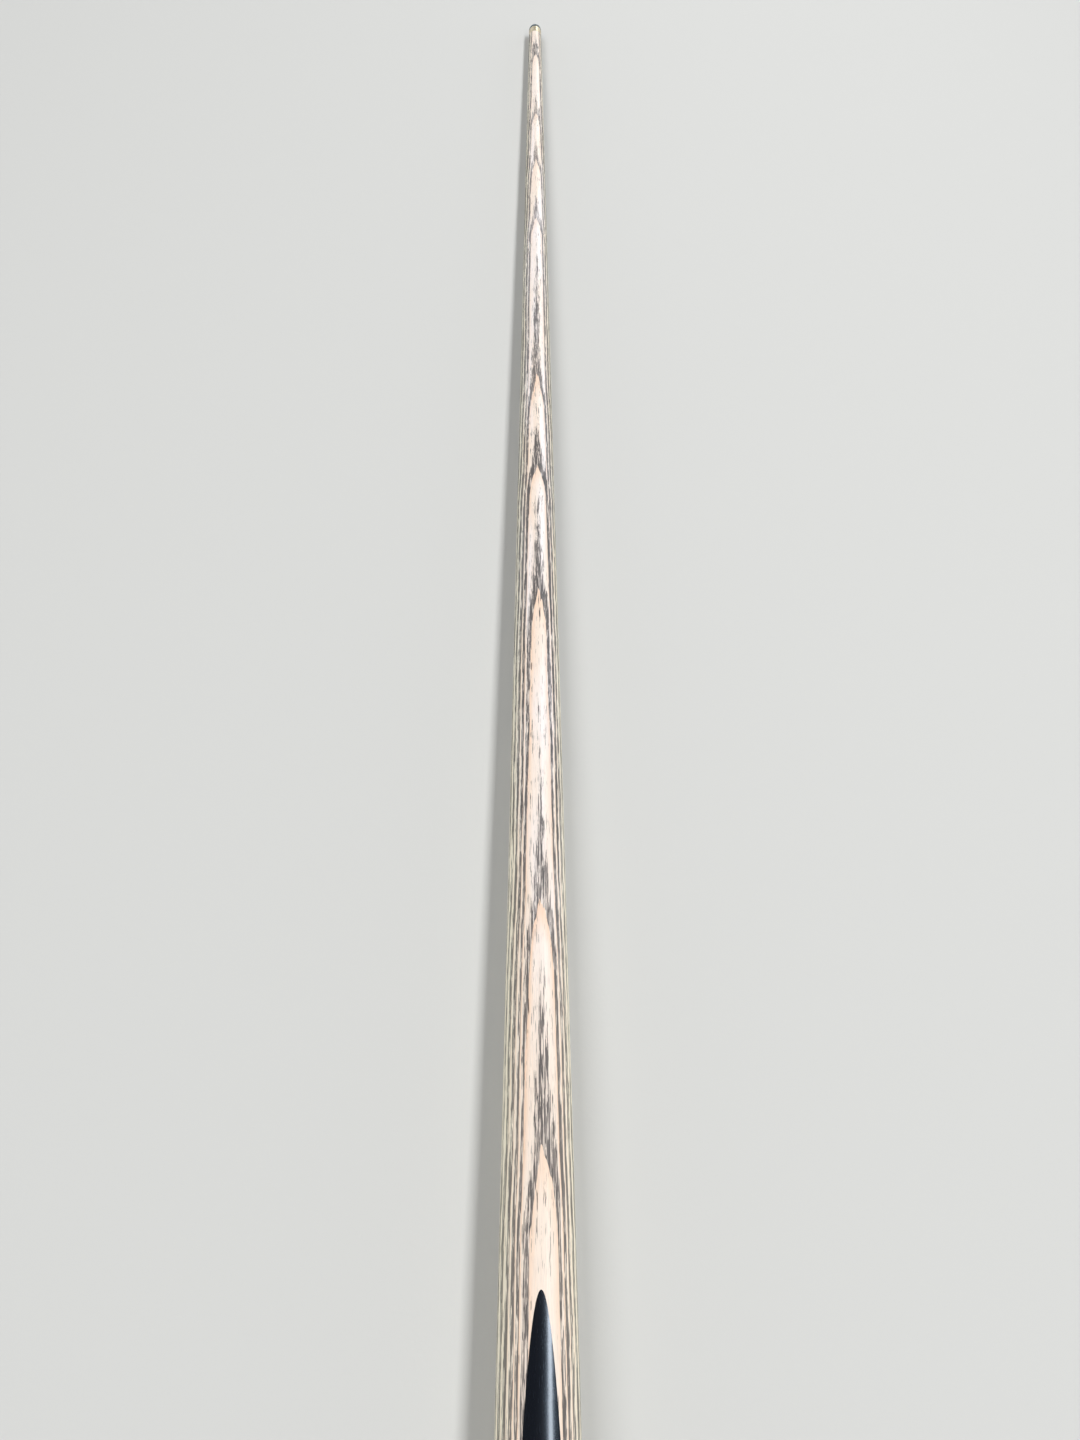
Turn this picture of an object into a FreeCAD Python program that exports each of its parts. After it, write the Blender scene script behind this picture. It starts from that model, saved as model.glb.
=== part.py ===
"""A three-quarter-jointed snooker cue: ash shaft, hand-spliced ebony butt, brass screw joint.

The cue lies along +Y. The origin is on its axis in the plane of the butt's rubber face, the tip is at +Y,
and +Z is the badge side. Lengths are in millimetres.
"""

import FreeCAD, Part
import math
import os
import Sketcher

V = FreeCAD.Vector

# The driving dimensions. Stations along the cue are measured from the butt end.
DRIVING = {
    # overall
    "cue_length": 1460.0,
    "butt_dia": 29.0,
    "ferrule_dia": 9.5,
    # tip and ferrule
    "tip_inset": 0.1,
    "tip_height": 4.0,
    "tip_dome_radius": 9.0,
    "tip_pad_height": 0.8,
    "ferrule_length": 10.0,
    "ferrule_wall": 0.8,
    "ferrule_cap": 1.2,
    # glue room between a turned metal piece and the wood round it
    "glue_gap": 0.05,
    # hand-cut splices; the tools that cut them run on past the surface
    "tool_overrun": 20.0,
    "core_half": 8.3,
    "long_point": 572.0,
    "long_ramp": 90.0,
    "short_point": 527.0,
    "short_ramp": 90.0,
    # butt facing, which is a third splice with two veneers under it
    "face_point": 300.0,
    "face_bed": 7.5,
    "veneer": 0.7,
    # screw joint
    "joint_station": 368.0,
    "collar_width": 7.0,
    "joint_bevel": 0.3,
    "thread_dia": 9.5,
    "thread_gap": 0.06,
    "pin_reach": 25.0,
    "pin_root": 20.0,
    "pin_lead": 1.0,
    "pin_end_room": 2.0,
    "stem_wall": 1.5,
    "stem_floor": 4.0,
    # flat and badge
    "flat_length": 80.0,
    "flat_drop": 2.2,
    "badge_dia": 11.0,
    "badge_thickness": 1.0,
    "badge_station": 22.0,
    # butt end
    "bumper_inset": 2.5,
    "bumper_height": 5.0,
    "bumper_round": 1.5,
    "bumper_ledge": 2.5,
    "flange_reach": 2.2,
    "flange_thickness": 1.5,
    "socket_wall": 1.75,
    "socket_floor": 3.0,
    "socket_thread_depth": 28.0,
    "butt_edge_bevel": 1.0,
    "weight_dia": 10.0,
    "weight_length": 60.0,
    "weight_room": 3.0,
}


class Size:
    """A length with its value now and the formula that ties it to the sheet."""

    def __init__(self, value, formula):
        self.value = value
        self.formula = formula

    def __add__(self, other):
        return combine(self, "+", other)

    def __sub__(self, other):
        return combine(self, "-", other)

    def __mul__(self, other):
        return combine(self, "*", other)

    def __truediv__(self, other):
        return combine(self, "/", other)


def combine(left, sign, right):
    right = right if isinstance(right, Size) else Size(float(right), f"{float(right):.4f}")
    value = {
        "+": left.value + right.value,
        "-": left.value - right.value,
        "*": left.value * right.value,
        "/": left.value / right.value if sign == "/" else 0.0,
    }[sign]
    return Size(value, f"({left.formula} {sign} {right.formula})")


def root(number):
    return Size(math.sqrt(number.value), f"sqrt({number.formula})")


def smaller(left, right):
    return Size(min(left.value, right.value), f"min({left.formula}; {right.formula})")


# --------------------------------------------------------------------------- document and sheet

doc = FreeCAD.newDocument("snooker_cue")
sheet = doc.addObject("Spreadsheet::Sheet", "Sizes")
for row, (alias, number) in enumerate(DRIVING.items(), start=1):
    sheet.set(f"A{row}", alias)
    sheet.set(f"B{row}", str(number))
    sheet.setAlias(f"B{row}", alias)
doc.recompute()
size = {alias: Size(number, f"Sizes.{alias}") for alias, number in DRIVING.items()}

# Stations and radii that follow from the driving dimensions.
tip_base = size["cue_length"] - size["tip_height"]
pad_base = tip_base - size["tip_pad_height"]
wood_front = pad_base - size["ferrule_length"]
joint = size["joint_station"]
shaft_start = joint + size["collar_width"] + size["glue_gap"]
butt_stop = joint - size["collar_width"] - size["glue_gap"]
butt_start = size["bumper_height"]
pin_radius = size["thread_dia"] / 2
thread_bore = pin_radius + size["thread_gap"]
stem_radius = pin_radius + size["stem_wall"]
stem_bore = stem_radius + size["glue_gap"]
shaft_stem_end = joint + size["pin_reach"] + size["pin_end_room"] + size["stem_floor"]
butt_stem_start = joint - size["pin_root"] - size["stem_floor"]
neck_radius = pin_radius + size["socket_wall"]
neck_bore = neck_radius + size["glue_gap"]
flange_radius = neck_radius + size["flange_reach"]
flange_end = butt_start - size["bumper_ledge"]
flange_start = flange_end - size["flange_thickness"]
socket_end = flange_start + size["socket_thread_depth"] + size["socket_floor"]
weight_bore = size["weight_dia"] / 2 + size["glue_gap"]
weight_start = socket_end + size["weight_room"]
weight_stop = weight_start + size["weight_length"]
tip_radius = size["ferrule_dia"] / 2 - size["tip_inset"]
tenon_radius = size["ferrule_dia"] / 2 - size["ferrule_wall"] - size["glue_gap"]
tenon_length = size["ferrule_length"] - size["ferrule_cap"] - size["glue_gap"]

# The cue's outer surface is one straight taper from the butt end to the ferrule.
slope = (size["butt_dia"] - size["ferrule_dia"]) / 2 / wood_front


def taper(station):
    return size["butt_dia"] / 2 - slope * station


# The cue's four sides, as turns about +Y from the badge side. Right is +X.
SIDES = {"front": 0.0, "right": 90.0, "back": 180.0, "left": 270.0}
# The rotation that lays a sketch's own x along +Y and its y along +Z.
SIDE_VIEW = FreeCAD.Rotation(V(1, 1, 1), 120)
# The rotation that lays a primitive's own z along +Y.
ALONG_CUE = FreeCAD.Rotation(V(1, 0, 0), -90)


# --------------------------------------------------------------------------- sketching

def fix(sketch, kind, *where, to):
    """Adds one dimension and binds it to its formula."""
    number = sketch.addConstraint(Sketcher.Constraint(kind, *where, to.value))
    sketch.setExpression(f"Constraints[{number}]", to.formula)


def draw_outline(sketch, corners):
    """A closed outline of straight lines, each corner held by its distance from the origin."""
    points = [V(along.value, out.value, 0) for along, out in corners]
    count = len(points)
    for i in range(count):
        sketch.addGeometry(Part.LineSegment(points[i], points[(i + 1) % count]))
    for i in range(count):
        sketch.addConstraint(Sketcher.Constraint("Coincident", i, 2, (i + 1) % count, 1))
    for i, (along, out) in enumerate(corners):
        fix(sketch, "DistanceX", -1, 1, i, 1, to=along)
        if out is AXIS:
            sketch.addConstraint(Sketcher.Constraint("PointOnObject", i, 1, -1))
        else:
            fix(sketch, "DistanceY", -1, 1, i, 1, to=out)


AXIS = Size(0.0, "0")


def turned(name, corners, rounded=None, roll=0.0):
    """A body turned about the cue's axis from (station, radius) corners, with some rims rounded. Its seam lies
    along the top, or `roll` degrees round from there."""
    body = doc.addObject("PartDesign::Body", name)
    body.Placement = FreeCAD.Placement(V(), FreeCAD.Rotation(V(0, 1, 0), roll))
    sketch = body.newObject("Sketcher::SketchObject", name + "_profile")
    side = next(f for f in body.Origin.OriginFeatures if f.Role == "YZ_Plane")
    sketch.AttachmentSupport = (side, [""])
    sketch.MapMode = "FlatFace"
    draw_outline(sketch, corners)
    turn = body.newObject("PartDesign::Revolution", name + "_turn")
    turn.Profile = sketch
    turn.ReferenceAxis = (sketch, ["H_Axis"])
    turn.Angle = 360.0
    doc.recompute()
    if rounded:
        radius, rims = rounded
        fillet = body.newObject("PartDesign::Fillet", name + "_round")
        fillet.Base = (turn, [rim_name(turn.Shape, station, out) for station, out in rims])
        fillet.setExpression("Radius", radius.formula)
        doc.recompute()
    return body


def rim_name(shape, station, radius):
    """The name of the circular edge at that station with that radius."""
    for number, edge in enumerate(shape.Edges, start=1):
        curve = edge.Curve
        if isinstance(curve, Part.Circle):
            if abs(curve.Center.y - station.value) < 1e-4 and abs(curve.Radius - radius.value) < 1e-4:
                return f"Edge{number}"
    raise ValueError(f"no rim at station {station.value:.3f} with radius {radius.value:.3f}")


def slab(name, roll, corners):
    """A tool: a side view of (station, height) corners, rolled about the cue and extruded right across it."""
    sketch = doc.addObject("Sketcher::SketchObject", name + "_outline")
    sketch.Placement = FreeCAD.Placement(V(), FreeCAD.Rotation(V(0, 1, 0), roll) * SIDE_VIEW)
    draw_outline(sketch, corners)
    tool = doc.addObject("Part::Extrusion", name)
    tool.Base = sketch
    tool.DirMode = "Normal"
    tool.Symmetric = True
    tool.Solid = True
    tool.setExpression("LengthFwd", (size["butt_dia"] * 2).formula)
    return tool


def ramp(name, roll, bed, point, length):
    """A splice's space: everything above a flat bed that runs level at height `bed` and then climbs over
    `length` to come out through the cue's surface at station `point`."""
    end = point - length
    reach = point + size["tool_overrun"]
    climb = (taper(point) - bed) / length * (reach - end)
    return slab(name, roll, [
        (AXIS, bed),
        (end, bed),
        (reach, bed + climb),
        (reach, size["butt_dia"]),
        (AXIS, size["butt_dia"]),
    ])


# --------------------------------------------------------------------------- joining and cutting solids

def cut(name, base, *tools):
    for number, tool in enumerate(tools):
        last = number == len(tools) - 1
        feature = doc.addObject("Part::Cut", name if last else f"{name}_less_{number}")
        feature.Base = base
        feature.Tool = tool
        base = feature
    return base


def common(name, base, tool):
    feature = doc.addObject("Part::Common", name)
    feature.Base = base
    feature.Tool = tool
    return feature


def cylinder(name, radius, height, start):
    """A plain cylinder along the cue from station `start`."""
    made = doc.addObject("Part::Cylinder", name)
    made.Placement = FreeCAD.Placement(V(), ALONG_CUE)
    made.setExpression("Radius", radius.formula)
    made.setExpression("Height", height.formula)
    made.setExpression("Placement.Base.y", start.formula)
    return made


# --------------------------------------------------------------------------- tip and ferrule

def make_tip():
    """A leather tip: a short cylinder under a shallow dome."""
    blank = cylinder("tip_blank", tip_radius, size["tip_height"], tip_base)
    ball = doc.addObject("Part::Sphere", "tip_dome")
    ball.setExpression("Radius", size["tip_dome_radius"].formula)
    ball.setExpression("Placement.Base.y", (size["cue_length"] - size["tip_dome_radius"]).formula)
    return common("cue_tip", blank, ball)


def make_tip_pad():
    return cylinder("tip_pad", tip_radius, size["tip_pad_height"], pad_base)


def make_ferrule():
    """A brass cap over the shaft's tenon."""
    outside = size["ferrule_dia"] / 2
    inside = outside - size["ferrule_wall"]
    floor = pad_base - size["ferrule_cap"]
    return turned("ferrule", [
        (wood_front, inside),
        (floor, inside),
        (floor, AXIS),
        (pad_base, AXIS),
        (pad_base, outside),
        (wood_front, outside),
    ])


# --------------------------------------------------------------------------- wood

def make_shaft_blank(side):
    """The shaft's whole outside, with its tenon for the ferrule and its hole for the joint collar. Its seam
    runs along the side that a splice will be cut from, so that the splice's sharp point ends on it."""
    hole_end = shaft_stem_end + size["glue_gap"]
    tenon_end = wood_front + tenon_length
    return turned(f"shaft_blank_{side}", [
        (shaft_start, stem_bore),
        (hole_end, stem_bore),
        (hole_end, AXIS),
        (tenon_end, AXIS),
        (tenon_end, tenon_radius),
        (wood_front, tenon_radius),
        (wood_front, size["ferrule_dia"] / 2),
        (shaft_start, taper(shaft_start)),
    ], roll=SIDES[side])


def make_butt_blank():
    """The butt's whole outside, bored at the back for the socket and weight and in front for the collar."""
    bevel = size["butt_edge_bevel"]
    neck_end = socket_end + size["glue_gap"]
    weight_end = weight_stop + size["glue_gap"]
    hole_start = butt_stem_start - size["glue_gap"]
    return turned("butt_blank", [
        (butt_start, neck_bore),
        (neck_end, neck_bore),
        (neck_end, weight_bore),
        (weight_end, weight_bore),
        (weight_end, AXIS),
        (hole_start, AXIS),
        (hole_start, stem_bore),
        (butt_stop, stem_bore),
        (butt_stop, taper(butt_stop)),
        (butt_start + bevel, taper(butt_start + bevel)),
        (butt_start, taper(butt_start) - bevel),
    ])


def make_splice_ramps():
    """The beds of the four butt splices: two long ones front and back, two short ones at the sides."""
    kinds = {"front": "long", "right": "short", "back": "long", "left": "short"}
    made = {}
    for side, kind in kinds.items():
        point, length = size[f"{kind}_point"], size[f"{kind}_ramp"]
        made[side] = ramp(f"{side}_ramp", SIDES[side], size["core_half"], point, length)
    return made


def make_face_ramps():
    """The beds under the outer veneer, the inner veneer and the facing. Each climbs at the same angle, one
    veneer above the last, so its point lies further back."""
    length = size["face_point"] - butt_start
    climb = (taper(size["face_point"]) - size["face_bed"]) / length
    made = []
    for layer in range(3):
        lift = size["veneer"] * layer
        setback = lift / (climb + slope)
        bed = size["face_bed"] + lift
        point = size["face_point"] - setback
        made.append(ramp(f"face_ramp_{layer}", SIDES["front"], bed, point, length - setback))
    return made


def make_spliced_wood(core_name, prefix, blanks, ramps):
    """Splits a blank into its ash core and four ebony splices. The side splices were let in last, so they
    run the full chord and bound the front and back ones."""
    left, right = ramps["left"], ramps["right"]
    made = [cut(core_name, blanks["front"], ramps["front"], ramps["back"], left, right)]
    for side in ("front", "back"):
        chord = common(f"{prefix}_{side}_chord", blanks[side], ramps[side])
        made.append(cut(f"{prefix}_splice_{side}", chord, left, right))
    for side in ("left", "right"):
        made.append(common(f"{prefix}_splice_{side}", blanks[side], ramps[side]))
    return made


# --------------------------------------------------------------------------- flat, facing and badge

flat_deep = size["butt_dia"] / 2 - size["flat_drop"]
flat_rise = (taper(size["flat_length"]) - flat_deep) / size["flat_length"]


def flat_height(station):
    return flat_deep + flat_rise * station


def make_flat():
    """The wedge planed off the badge side at the butt end."""
    reach = size["flat_length"] + size["tool_overrun"]
    return slab("flat", SIDES["front"], [
        (AXIS, flat_height(AXIS)),
        (reach, flat_height(reach)),
        (reach, size["butt_dia"]),
        (AXIS, size["butt_dia"]),
    ])


def badge_disc(name, radius, thickness):
    """A disc let into the flat, its outer face level with it."""
    norm = root(flat_rise * flat_rise + 1)
    disc = doc.addObject("Part::Cylinder", name)
    tilt = math.degrees(math.atan(flat_rise.value))
    disc.Placement = FreeCAD.Placement(V(), FreeCAD.Rotation(V(1, 0, 0), tilt))
    disc.setExpression("Placement.Rotation.Angle", f"atan({flat_rise.formula})")
    disc.setExpression("Placement.Base.y", (size["badge_station"] + thickness * flat_rise / norm).formula)
    disc.setExpression("Placement.Base.z", (flat_height(size["badge_station"]) - thickness / norm).formula)
    disc.setExpression("Radius", radius.formula)
    disc.setExpression("Height", thickness.formula)
    return disc


def make_facing(blank, beds):
    """The butt facing, its two veneers and the badge let into its flat."""
    outer, inner, facing = beds
    badge = badge_disc("badge_plate", size["badge_dia"] / 2, size["badge_thickness"])
    recess = badge_disc("badge_recess", size["badge_dia"] / 2 + size["glue_gap"], size["badge_thickness"])
    return [
        cut("veneer_light", common("veneer_light_stack", blank, outer), inner),
        cut("veneer_dark", common("veneer_dark_stack", blank, inner), facing),
        cut("butt_facing", common("facing_blank", blank, facing), recess),
        badge,
    ]


# --------------------------------------------------------------------------- joint

def make_shaft_collar():
    """The female half of the joint: a ring as wide as the cue and a stem glued up the shaft."""
    bevel = size["joint_bevel"]
    ring_end = joint + size["collar_width"]
    bore_end = shaft_stem_end - size["stem_floor"]
    return turned("shaft_joint_collar", [
        (joint, thread_bore),
        (bore_end, thread_bore),
        (bore_end, AXIS),
        (shaft_stem_end, AXIS),
        (shaft_stem_end, stem_radius),
        (ring_end, stem_radius),
        (ring_end, taper(ring_end)),
        (joint + bevel, taper(joint + bevel)),
        (joint, taper(joint) - bevel),
    ])


def make_butt_collar():
    """The male half's ring and stem, bored for the root of the pin."""
    bevel = size["joint_bevel"]
    ring_start = joint - size["collar_width"]
    pin_start = joint - size["pin_root"]
    return turned("butt_joint_collar", [
        (butt_stem_start, AXIS),
        (pin_start, AXIS),
        (pin_start, pin_radius),
        (joint, pin_radius),
        (joint, taper(joint) - bevel),
        (joint - bevel, taper(joint - bevel)),
        (ring_start, taper(ring_start)),
        (ring_start, stem_radius),
        (butt_stem_start, stem_radius),
    ])


def make_joint_pin():
    """The threaded pin, pressed into the butt collar, drawn to its outside diameter."""
    start = joint - size["pin_root"]
    end = joint + size["pin_reach"]
    return turned("joint_pin", [
        (start, AXIS),
        (end, AXIS),
        (end, pin_radius - size["pin_lead"]),
        (end - size["pin_lead"], pin_radius),
        (start, pin_radius),
    ])


# --------------------------------------------------------------------------- butt end

def make_bumper():
    """A rubber ring, stepped inside so that the socket's flange clamps its ledge to the wood."""
    flange_bore = flange_radius + size["glue_gap"]
    outside = size["butt_dia"] / 2 - size["bumper_inset"]
    edge = smaller(size["bumper_round"], (outside - flange_bore) * 0.6)
    return turned("butt_bumper", [
        (AXIS, flange_bore),
        (flange_end, flange_bore),
        (flange_end, neck_bore),
        (butt_start, neck_bore),
        (butt_start, outside),
        (AXIS, outside),
    ], rounded=(edge, [(AXIS, outside)]))


def make_socket():
    """The brass socket that takes a screw-in extension, its flange sunk below the rubber's face."""
    bore_end = socket_end - size["socket_floor"]
    return turned("extension_socket", [
        (flange_start, thread_bore),
        (bore_end, thread_bore),
        (bore_end, AXIS),
        (socket_end, AXIS),
        (socket_end, neck_radius),
        (flange_end, neck_radius),
        (flange_end, flange_radius),
        (flange_start, flange_radius),
    ])


def make_weight():
    return cylinder("balance_weight", size["weight_dia"] / 2, size["weight_length"], weight_start)


# --------------------------------------------------------------------------- build, check, write

def build():
    ramps = make_splice_ramps()
    beds = make_face_ramps()
    planed = cut("planed_butt", make_butt_blank(), make_flat())
    faced = cut("faced_butt", planed, beds[0])
    parts = [make_tip(), make_tip_pad(), make_ferrule()]
    parts += make_spliced_wood("ash_shaft", "shaft", {side: make_shaft_blank(side) for side in SIDES}, ramps)
    parts += [make_shaft_collar(), make_joint_pin(), make_butt_collar()]
    parts += make_spliced_wood("ash_core", "butt", {side: faced for side in SIDES}, ramps)
    parts += make_facing(planed, beds)
    parts += [make_weight(), make_socket(), make_bumper()]
    for part in parts:
        part.Label = part.Name
    return parts


def check(parts):
    broken = [o.Name for o in doc.Objects if "Invalid" in o.State or "Error" in o.State]
    if broken:
        raise RuntimeError(f"these objects failed: {broken}")
    for part in parts:
        shape = part.Shape
        if shape.isNull() or not shape.isValid() or not shape.Solids:
            raise RuntimeError(f"{part.Label} has no valid solid")


def write(parts):
    os.makedirs("parts", exist_ok=True)
    for part in parts:
        part.Shape.exportStep(f"parts/{part.Label}.step")
        print(f"{part.Label}: {len(part.Shape.Solids)} solid, {part.Shape.Volume / 1000:.3f} cm3")


finished = build()
doc.recompute()
check(finished)
write(finished)
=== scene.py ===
import math

import bmesh
import bpy
import numpy as np
from mathutils import Matrix


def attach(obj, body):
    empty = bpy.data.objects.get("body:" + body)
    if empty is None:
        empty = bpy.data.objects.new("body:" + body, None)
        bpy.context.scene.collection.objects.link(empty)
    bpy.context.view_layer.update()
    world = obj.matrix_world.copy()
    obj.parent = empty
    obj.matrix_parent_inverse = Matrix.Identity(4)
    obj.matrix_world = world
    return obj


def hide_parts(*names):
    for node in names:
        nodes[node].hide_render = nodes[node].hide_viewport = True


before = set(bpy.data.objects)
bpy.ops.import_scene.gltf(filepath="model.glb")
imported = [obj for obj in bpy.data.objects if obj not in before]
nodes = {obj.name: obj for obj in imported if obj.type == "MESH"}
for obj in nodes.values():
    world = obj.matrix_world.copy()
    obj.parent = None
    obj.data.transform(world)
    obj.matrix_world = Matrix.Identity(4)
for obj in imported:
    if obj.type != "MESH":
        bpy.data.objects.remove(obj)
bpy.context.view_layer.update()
scene = bpy.context.scene
mm = 0.001
print("frame loaded:", len(nodes), "nodes")

# Sizes are in millimetres. The cue lies along +Y with the butt at 0, and its flat looks up.
cueTaper = {
    "length": 1460.0,
    "buttRadius": 14.5,
    "taper": 0.0067465,       # radius lost for each millimetre along the cue
}

meshDetail = {
    "arcParts": 20,           # straight parts in each quarter turn
    "step": 6.0,              # longest gap between two rings of points
    "pointGaps": (0.1, 0.3, 0.7, 1.2, 2, 3, 4.5, 6.5, 9, 12, 15, 19, 24),   # closer, before a thin point
    "thinEndGaps": (0.5, 2),
    "nearAxis": 0.001,        # radius to which a flat end closes
    "merge": 0.0015,          # points nearer than this become one
    "collapse": 0.0005,       # edges shorter than this go
    "sharpAngle": 28,
}
nearAxis = meshDetail["nearAxis"]


def radiusAt(y):
    return cueTaper["buttRadius"] - cueTaper["taper"] * y


# points (x, z) on a round section, from one angle to another; 0 is the top
def arcPoints(radius, first, last, parts):
    turns = [first + (last - first) * k / parts for k in range(parts + 1)]
    return [(radius * math.sin(t), radius * math.cos(t)) for t in turns]


def finishMesh(obj, sharpAngle=meshDetail["sharpAngle"]):
    work = bmesh.new()
    work.from_mesh(obj.data)
    bmesh.ops.remove_doubles(work, verts=work.verts, dist=meshDetail["merge"] * mm)
    bmesh.ops.dissolve_degenerate(work, edges=work.edges, dist=meshDetail["collapse"] * mm)
    bmesh.ops.recalc_face_normals(work, faces=work.faces)
    work.to_mesh(obj.data)
    work.free()
    obj.data.shade_smooth()
    obj.data.set_sharp_from_angle(angle=math.radians(sharpAngle))


# rings is a list of (y, points), each ring with as many (x, z) points as the next
def loftPiece(name, rings, sharpAngle=meshDetail["sharpAngle"]):
    count = len(rings[0][1])
    points = [(x * mm, y * mm, z * mm) for y, ring in rings for x, z in ring]
    faces = []
    for row in range(len(rings) - 1):
        for k in range(count):
            a, b = row * count + k, row * count + (k + 1) % count
            faces.append((a, b, b + count, a + count))
    faces.append(tuple(range(count)))
    faces.append(tuple(range((len(rings) - 1) * count, len(rings) * count)))
    mesh = bpy.data.meshes.new(name)
    mesh.from_pydata(points, [], faces)
    mesh.validate()
    obj = bpy.data.objects.new(name, mesh)
    scene.collection.objects.link(obj)
    finishMesh(obj, sharpAngle)
    return obj


# where the rings of points stand between two places, closer together before a thin point
def stationsAlong(start, end, pointAt=None, extra=()):
    steps = max(2, math.ceil((end - start) / meshDetail["step"]))
    found = {start + (end - start) * k / steps for k in range(steps + 1)}
    if pointAt is not None:
        found |= {pointAt - gap for gap in meshDetail["pointGaps"]}
        found.add(pointAt)
    found |= set(extra)
    return sorted(y for y in found if start <= y <= end)


def rolled(ring, quarterTurns):
    for _ in range(quarterTurns):
        ring = [(z, -x) for x, z in ring]
    return ring


# the part of a round section between two heights, no wider than width to each side
def bandRing(radius, low, high, width=math.inf):
    low, high = min(low, radius), min(high, radius)
    corner = math.sqrt(radius ** 2 - width ** 2) if width < radius else 0.0
    corner = min(max(corner, low), high)
    lowHalf = min(width, math.sqrt(max(0.0, radius ** 2 - low ** 2)))
    right = [(lowHalf, low)]
    right += arcPoints(radius, math.acos(corner / radius), math.acos(high / radius), meshDetail["arcParts"])
    return right + [(-x, z) for x, z in reversed(right)]


def placePiece(obj, body, node, material):
    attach(obj, body)
    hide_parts(node)
    obj.data.materials.clear()
    obj.data.materials.append(material)


# wired gives each input either a socket to link or a value of its own
def addNode(tree, kind, wired=None, **settings):
    node = tree.nodes.new(kind)
    for key, value in settings.items():
        setattr(node, key, value)
    for key, value in (wired or {}).items():
        if isinstance(value, bpy.types.NodeSocket):
            tree.links.new(value, node.inputs[key])
        else:
            node.inputs[key].default_value = value
    return node


def maths(tree, operation, a, b=0.0, c=0.0, clamp=False):
    return addNode(tree, "ShaderNodeMath", {0: a, 1: b, 2: c}, operation=operation,
                   use_clamp=clamp).outputs[0]


def times(tree, a, b):
    return maths(tree, "MULTIPLY", a, b)


def timesPlus(tree, a, b, c, clamp=False):
    return maths(tree, "MULTIPLY_ADD", a, b, c, clamp)


# value eased from one end of a range to the other, given out between toLow and toHigh
def between(tree, value, ends, toLow=0.0, toHigh=1.0):
    return addNode(tree, "ShaderNodeMapRange", {
        "Value": value, "From Min": ends[0], "From Max": ends[1], "To Min": toLow, "To Max": toHigh,
    }, interpolation_type="SMOOTHSTEP").outputs["Result"]


# the same along the cue, for a zone in millimetres from the butt
def alongCue(tree, y, zone, toLow=0.0, toHigh=1.0):
    return between(tree, y, (zone[0] * mm, zone[1] * mm), toLow, toHigh)


def blendColours(tree, amount, first, second):
    node = tree.nodes.new("ShaderNodeMix")
    node.data_type = "RGBA"
    colourSockets = [s for s in node.inputs if s.type == "RGBA"]
    amountSocket = [s for s in node.inputs if s.type == "VALUE"][0]
    for socket, value in ((amountSocket, amount), (colourSockets[0], first), (colourSockets[1], second)):
        if isinstance(value, bpy.types.NodeSocket):
            tree.links.new(value, socket)
        else:
            socket.default_value = (*value, 1.0)
    return [s for s in node.outputs if s.type == "RGBA"][0]


# noise drawn out along the cue: across and along are one fleck's size in millimetres
def stretchedNoise(tree, place, across, along, detail, seed, rough=0.5):
    moved = addNode(tree, "ShaderNodeVectorMath", {0: place, 1: (seed, 1.7 * seed, -seed)},
                    operation="ADD").outputs[0]
    scaled = addNode(tree, "ShaderNodeVectorMath", {
        0: moved, 1: (1 / (across * mm), 1 / (along * mm), 1 / (across * mm))},
        operation="MULTIPLY").outputs[0]
    return addNode(tree, "ShaderNodeTexNoise", {
        "Vector": scaled, "Scale": 1.0, "Detail": detail, "Roughness": rough}).outputs["Fac"]


def newMaterial(name, **fixed):
    material = bpy.data.materials.new(name)
    material.use_nodes = True
    tree = material.node_tree
    tree.nodes.clear()
    shader = addNode(tree, "ShaderNodeBsdfPrincipled", fixed)
    out = addNode(tree, "ShaderNodeOutputMaterial")
    tree.links.new(shader.outputs[0], out.inputs["Surface"])
    place = addNode(tree, "ShaderNodeTexCoord").outputs["Object"]
    return material, tree, shader, place


# relief is how deep the bumps are, in millimetres
def setLook(tree, shader, colour, roughness, height, relief):
    tree.links.new(colour, shader.inputs["Base Color"])
    tree.links.new(roughness, shader.inputs["Roughness"])
    bump = addNode(tree, "ShaderNodeBump", {"Height": height, "Distance": relief * mm, "Strength": 1.0})
    tree.links.new(bump.outputs["Normal"], shader.inputs["Normal"])


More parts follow.
